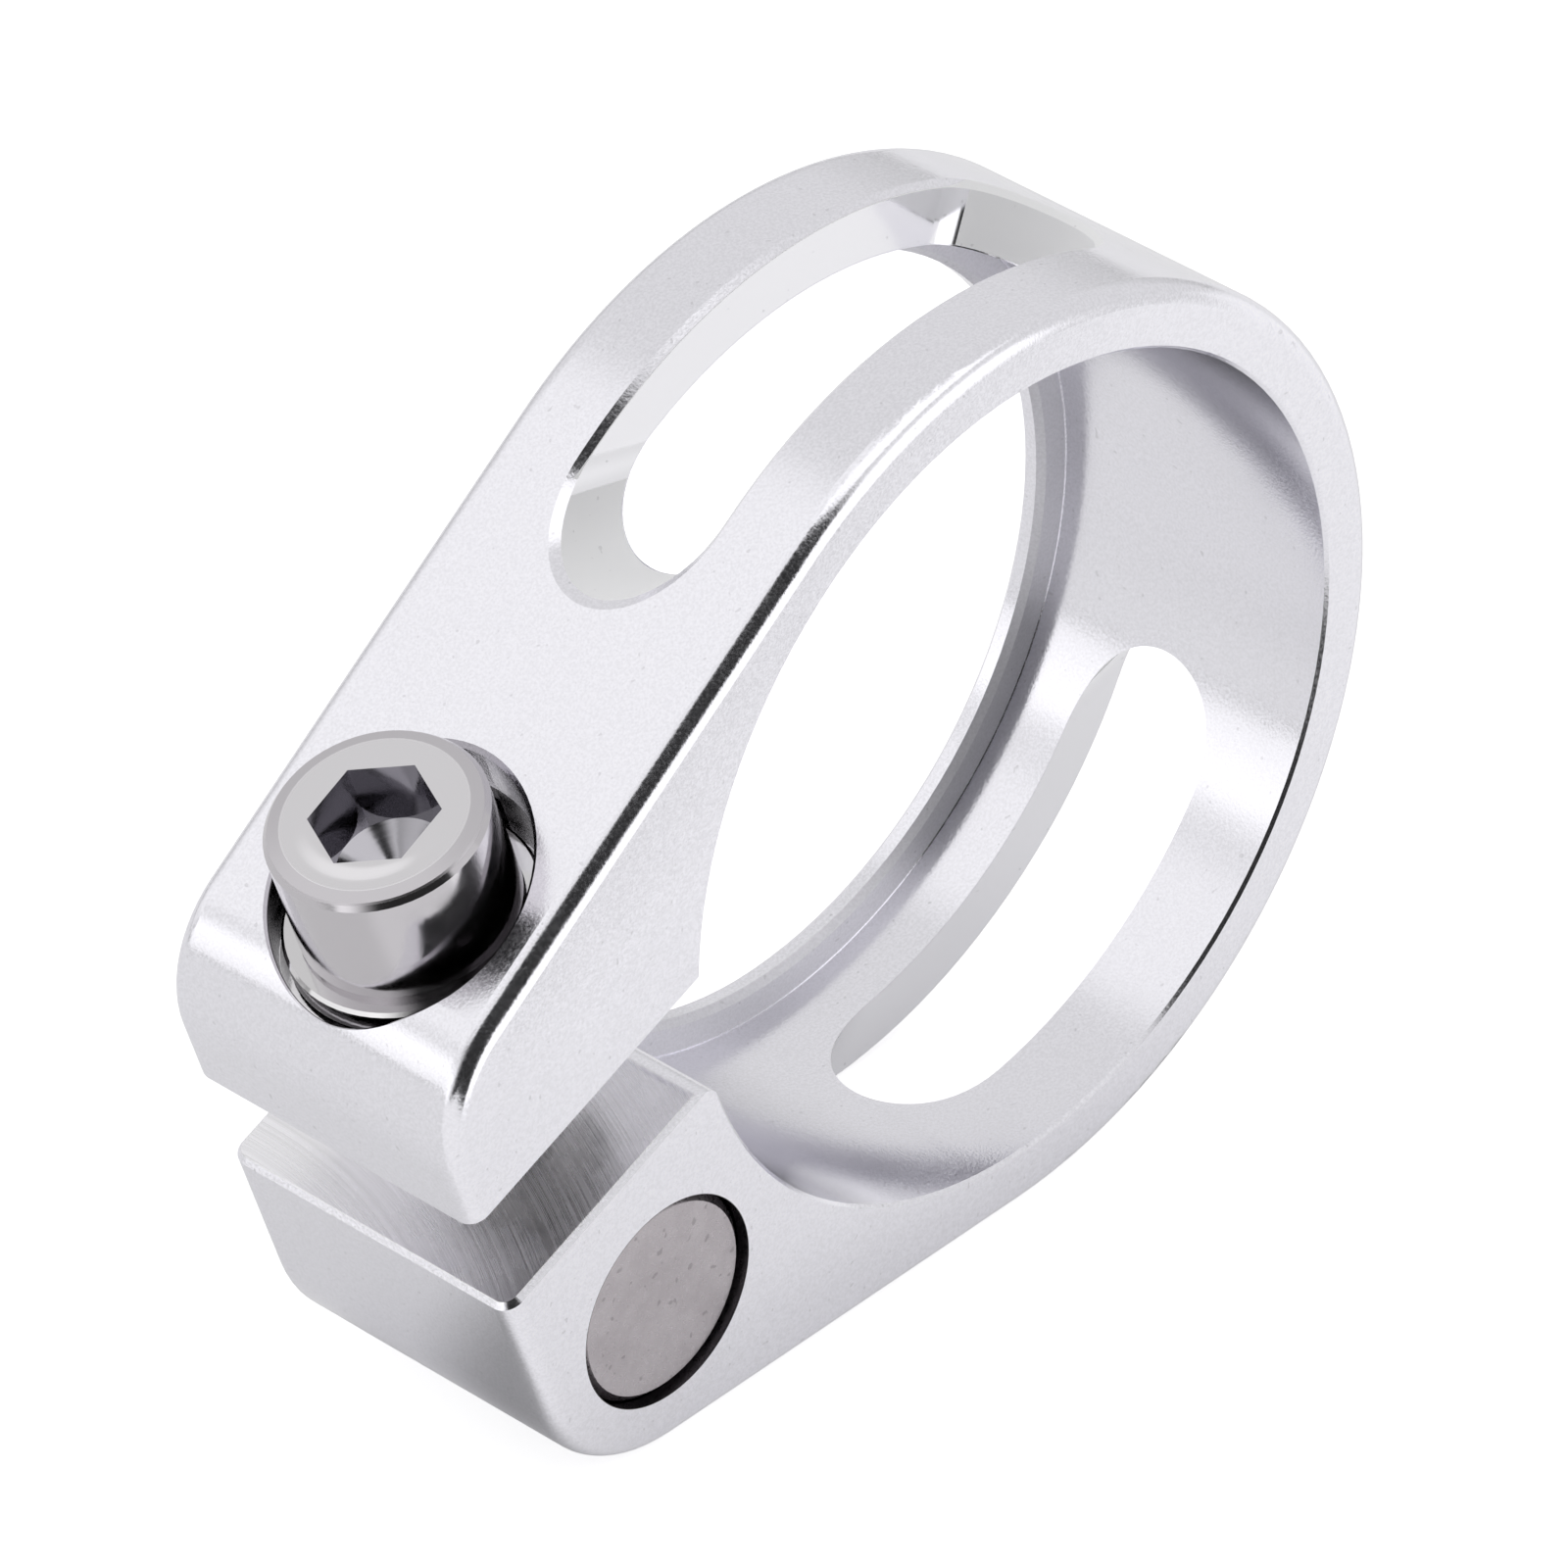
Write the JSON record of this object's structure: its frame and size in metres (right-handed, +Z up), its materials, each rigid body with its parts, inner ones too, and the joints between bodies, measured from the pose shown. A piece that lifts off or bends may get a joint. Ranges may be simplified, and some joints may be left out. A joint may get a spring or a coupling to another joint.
{
  "type": "seatpost clamp",
  "caption": "Aluminium clamp collar for a bicycle seat tube: a split ring with a stop lip and lightening slots, drawn tight by a socket head screw and a barrel nut.",
  "frame": {"origin": "on the bore's axis, at half the clamp's width", "axes": "+Z is up with the clamp lying on its lower ear's outer flat, +Y runs along the bore towards the stop lip, and the ears point towards -X"},
  "size_m": [0.0464, 0.0132, 0.0364],
  "materials": {
    "clamp_body": "satin, clear anodised",
    "clamp_screw": "polished stainless steel",
    "washer": "polished stainless steel",
    "barrel_nut": "satin stainless steel"
  },
  "bodies": {
    "clamp": {"clamp_body": "clamp_body"},
    "nut": {"barrel_nut": "barrel_nut"},
    "washer": {"washer": "washer"},
    "screw": {"clamp_screw": "clamp_screw"}
  },
  "joints": [
    {"name": "nut_pivot", "type": "hinge", "parent": "clamp", "child": "nut", "pos_m": [-0.01786, 0, -0.01223], "axis": [0, 1, 0], "range_deg": [-0.8, 0.8]},
    {"name": "screw_travel", "type": "slide", "parent": "nut", "child": "washer", "axis": [-0.3074, 0, 0.9516], "range_m": [0, 0.0064]},
    {"name": "screw_turn", "type": "hinge", "parent": "washer", "child": "screw", "pos_m": [-0.01786, -0.0002, -0.01223], "axis": [-0.3074, 0, 0.9516], "range_deg": [0, 2881]}
  ],
  "couplings": [
    {"joint": "screw_turn", "follows": "screw_travel", "rad_per_m": 7854}
  ]
}
